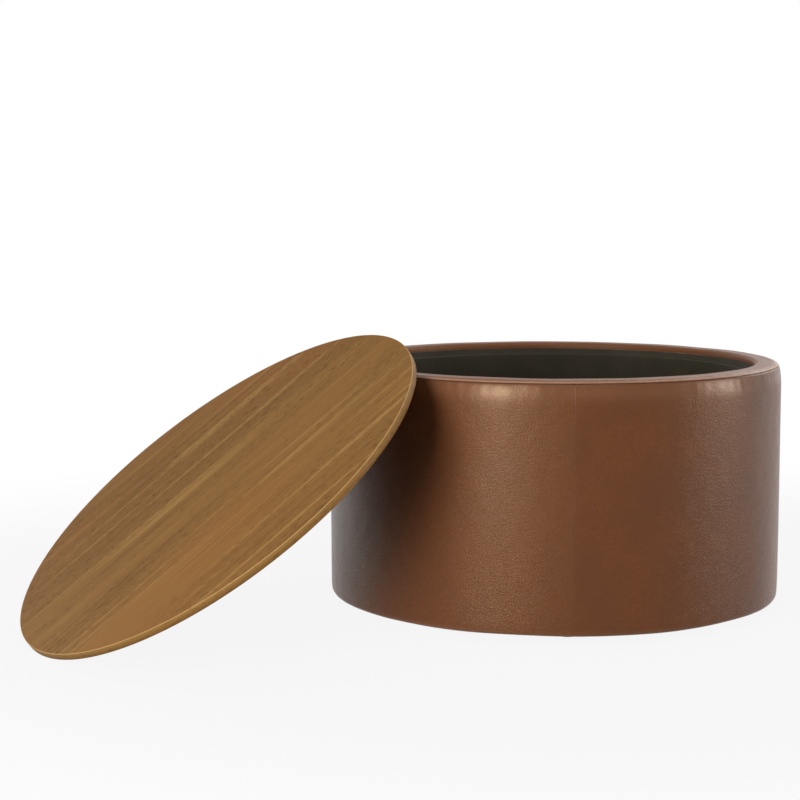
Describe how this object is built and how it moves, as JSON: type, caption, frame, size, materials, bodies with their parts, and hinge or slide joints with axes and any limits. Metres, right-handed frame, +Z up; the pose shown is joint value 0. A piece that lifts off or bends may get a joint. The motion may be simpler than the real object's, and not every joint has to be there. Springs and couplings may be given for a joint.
{
  "type": "storage ottoman",
  "caption": "Round drum ottoman in brown leather with an open lined top and a loose round wooden lid that leans against its rim.",
  "frame": {"origin": "the middle of the drum's centre foot, on the floor", "axes": "+Z is up along the drum's axis; the lid leans on the drum's -X side; +Y completes a right-handed frame"},
  "size_m": [1.3502, 0.7898, 0.481],
  "materials": {
    "leather": "satin",
    "lining": "matte",
    "dust_cover": "matte",
    "foam": "matte",
    "frame_wood": "matte",
    "hardboard": "matte",
    "lid_core": "matte",
    "veneer": "satin",
    "feet": "matte",
    "screws": "satin"
  },
  "bodies": {
    "drum": {"base_board": "frame_wood", "base_screw_1": "screws", "base_screw_2": "screws", "base_screw_3": "screws", "base_screw_4": "screws", "base_screw_5": "screws", "base_screw_6": "screws", "batten_1": "frame_wood", "batten_2": "frame_wood", "batten_3": "frame_wood", "batten_4": "frame_wood", "batten_5": "frame_wood", "batten_6": "frame_wood", "dust_cover": "dust_cover", "floor_panel": "hardboard", "foot_1": "feet", "foot_2": "feet", "foot_3": "feet", "foot_4": "feet", "foot_5": "feet", "foot_6": "feet", "foot_centre": "feet", "liner_board": "hardboard", "lining_band": "lining", "lining_floor": "lining", "lining_wall": "lining", "outer_wall": "hardboard", "rim_cover": "leather", "rim_foam": "foam", "ring_screw_1": "screws", "ring_screw_2": "screws", "ring_screw_3": "screws", "ring_screw_4": "screws", "ring_screw_5": "screws", "ring_screw_6": "screws", "side_cover_back": "leather", "side_cover_front": "leather", "top_ring": "frame_wood", "wall_foam": "foam"},
    "lid": {"cleat_screw_1": "screws", "cleat_screw_2": "screws", "cleat_screw_3": "screws", "cleat_screw_4": "screws", "cleat_screw_5": "screws", "cleat_screw_6": "screws", "cleat_screw_7": "screws", "cleat_screw_8": "screws", "lid_back_veneer": "veneer", "lid_cleat_1": "frame_wood", "lid_cleat_2": "frame_wood", "lid_cleat_3": "frame_wood", "lid_cleat_4": "frame_wood", "lid_core": "lid_core", "lid_edge_band": "veneer", "lid_top_veneer": "veneer"}
  },
  "joints": [
    {"name": "lid_lift", "type": "slide", "parent": "drum", "child": "lid", "axis": [0, 0, 1], "range_m": [0, 0.45]}
  ]
}
